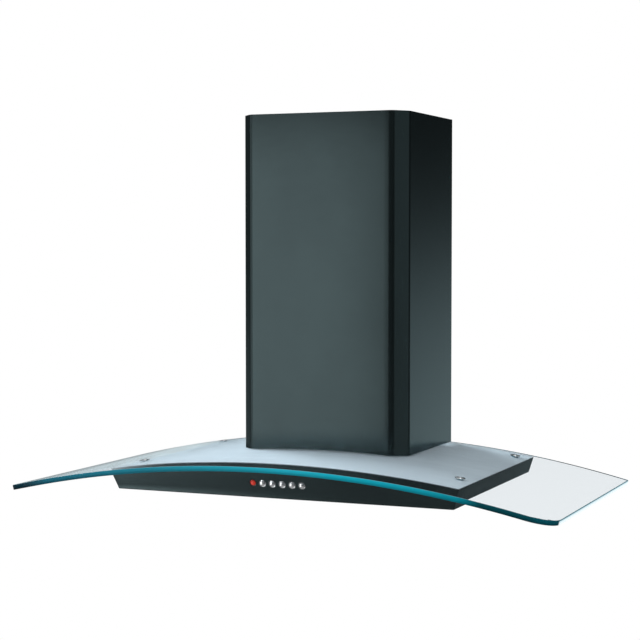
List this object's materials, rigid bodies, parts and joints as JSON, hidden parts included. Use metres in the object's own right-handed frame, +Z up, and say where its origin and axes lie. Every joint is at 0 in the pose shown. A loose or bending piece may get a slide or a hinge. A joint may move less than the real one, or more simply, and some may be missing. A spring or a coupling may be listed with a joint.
{
  "type": "range hood",
  "caption": "Wall-mounted chimney range hood: a shallow steel body under an arched glass canopy, with a telescopic chimney, push buttons, grease filters and lamps.",
  "frame": {"origin": "centre of the wall rail's back face, on the wall plane", "axes": "+X to the right along the wall, +Y into the wall, +Z up; the hood stands out from the wall to -Y"},
  "size_m": [0.898, 0.468, 0.6037],
  "materials": {
    "canopy_glass": "clear toughened float glass with polished teal edges",
    "black_steel": "anthracite black satin enamel on sheet steel",
    "brushed_steel": "stainless sheet brushed along its length",
    "galvanised_steel": "zinc-coated sheet with a dull spangle",
    "filter_aluminium": "expanded aluminium mesh in a rolled frame",
    "chrome": "bright plated",
    "spring_steel": "drawn steel wire and bar",
    "black_plastic": "fine moulded grain",
    "grey_plastic": "smooth moulding",
    "pale_plastic": "smooth moulding",
    "red_lens": "translucent red lens",
    "lamp_glass": "frosted lens and capsule glass"
  },
  "bodies": {
    "hood": {"glass_canopy": "canopy_glass", "body_shell": "black_steel", "chimney_lower": "black_steel", "top_plate": "brushed_steel", "underside_plate": "brushed_steel", "rear_panel": "galvanised_steel", "wall_rail": "galvanised_steel", "blower_box": "galvanised_steel", "fan_motor": "galvanised_steel", "motor_mount": "galvanised_steel", "lamp_holder_left": "galvanised_steel", "lamp_holder_right": "galvanised_steel", "glass_screw_front_left": "chrome", "glass_screw_rear_left": "chrome", "glass_screw_front_right": "chrome", "glass_screw_rear_right": "chrome", "button_guide": "chrome", "lamp_bezel_left": "chrome", "lamp_bezel_right": "chrome", "damper_pin": "spring_steel", "button_spring_off": "spring_steel", "button_spring_speed_1": "spring_steel", "button_spring_speed_2": "spring_steel", "button_spring_speed_3": "spring_steel", "button_spring_light": "spring_steel", "switch_housing": "black_plastic", "blower_housing_left": "black_plastic", "blower_housing_right": "black_plastic", "outlet_collar": "black_plastic", "terminal_box": "black_plastic", "terminal_cover": "black_plastic", "cable_gland": "grey_plastic", "terminal_block": "pale_plastic", "motor_capacitor": "pale_plastic", "indicator_lamp": "red_lens", "lamp_lens_left": "lamp_glass", "lamp_lens_right": "lamp_glass", "lamp_bulb_left": "lamp_glass", "lamp_bulb_right": "lamp_glass"},
    "fan": {"fan_wheel": "grey_plastic", "motor_shaft": "spring_steel"},
    "damper_front": {"damper_flap_front": "grey_plastic"},
    "damper_rear": {"damper_flap_rear": "grey_plastic"},
    "upper_chimney": {"chimney_upper": "black_steel", "chimney_bracket": "galvanised_steel"},
    "filter_left": {"filter_frame_left": "filter_aluminium", "filter_mesh_left": "filter_aluminium", "latch_spring_left": "spring_steel"},
    "latch_left": {"filter_latch_left": "black_plastic"},
    "filter_right": {"filter_frame_right": "filter_aluminium", "filter_mesh_right": "filter_aluminium", "latch_spring_right": "spring_steel"},
    "latch_right": {"filter_latch_right": "black_plastic"},
    "button_off": {"button_off": "chrome"},
    "button_speed_1": {"button_speed_1": "chrome"},
    "button_speed_2": {"button_speed_2": "chrome"},
    "button_speed_3": {"button_speed_3": "chrome"},
    "button_light": {"button_light": "chrome"}
  },
  "joints": [
    {"name": "fan_spin", "type": "hinge", "parent": "hood", "child": "fan", "pos_m": [0, -0.1225, 0.128], "axis": [1, 0, 0], "continuous": true},
    {"name": "damper_front_swing", "type": "hinge", "parent": "hood", "child": "damper_front", "pos_m": [0, -0.112, 0.2763], "axis": [-1, 0, 0], "range_deg": [0, 80]},
    {"name": "damper_rear_swing", "type": "hinge", "parent": "hood", "child": "damper_rear", "pos_m": [0, -0.112, 0.2763], "axis": [1, 0, 0], "range_deg": [0, 80]},
    {"name": "chimney_extend", "type": "slide", "parent": "hood", "child": "upper_chimney", "axis": [0, 0, 1], "range_m": [0, 0.4]},
    {"name": "filter_left_tilt", "type": "hinge", "parent": "hood", "child": "filter_left", "pos_m": [-0.124, -0.03, -0.012], "axis": [1, 0, 0], "range_deg": [0, 75]},
    {"name": "latch_left_slide", "type": "slide", "parent": "filter_left", "child": "latch_left", "axis": [0, 1, 0], "range_m": [0, 0.005], "stiffness_N_per_m": 300, "springref_m": -0.003, "deforming": ["latch_spring_left"]},
    {"name": "filter_right_tilt", "type": "hinge", "parent": "hood", "child": "filter_right", "pos_m": [0.124, -0.03, -0.012], "axis": [1, 0, 0], "range_deg": [0, 75]},
    {"name": "latch_right_slide", "type": "slide", "parent": "filter_right", "child": "latch_right", "axis": [0, 1, 0], "range_m": [0, 0.005], "stiffness_N_per_m": 300, "springref_m": -0.003, "deforming": ["latch_spring_right"]},
    {"name": "button_off_press", "type": "slide", "parent": "hood", "child": "button_off", "axis": [0, 0.9578, 0.2873], "range_m": [0, 0.003], "stiffness_N_per_m": 500, "springref_m": -0.002, "deforming": ["button_spring_off"]},
    {"name": "button_speed_1_press", "type": "slide", "parent": "hood", "child": "button_speed_1", "axis": [0, 0.9578, 0.2873], "range_m": [0, 0.003], "stiffness_N_per_m": 500, "springref_m": -0.002, "deforming": ["button_spring_speed_1"]},
    {"name": "button_speed_2_press", "type": "slide", "parent": "hood", "child": "button_speed_2", "axis": [0, 0.9578, 0.2873], "range_m": [0, 0.003], "stiffness_N_per_m": 500, "springref_m": -0.002, "deforming": ["button_spring_speed_2"]},
    {"name": "button_speed_3_press", "type": "slide", "parent": "hood", "child": "button_speed_3", "axis": [0, 0.9578, 0.2873], "range_m": [0, 0.003], "stiffness_N_per_m": 500, "springref_m": -0.002, "deforming": ["button_spring_speed_3"]},
    {"name": "button_light_press", "type": "slide", "parent": "hood", "child": "button_light", "axis": [0, 0.9578, 0.2873], "range_m": [0, 0.003], "stiffness_N_per_m": 500, "springref_m": -0.002, "deforming": ["button_spring_light"]}
  ]
}
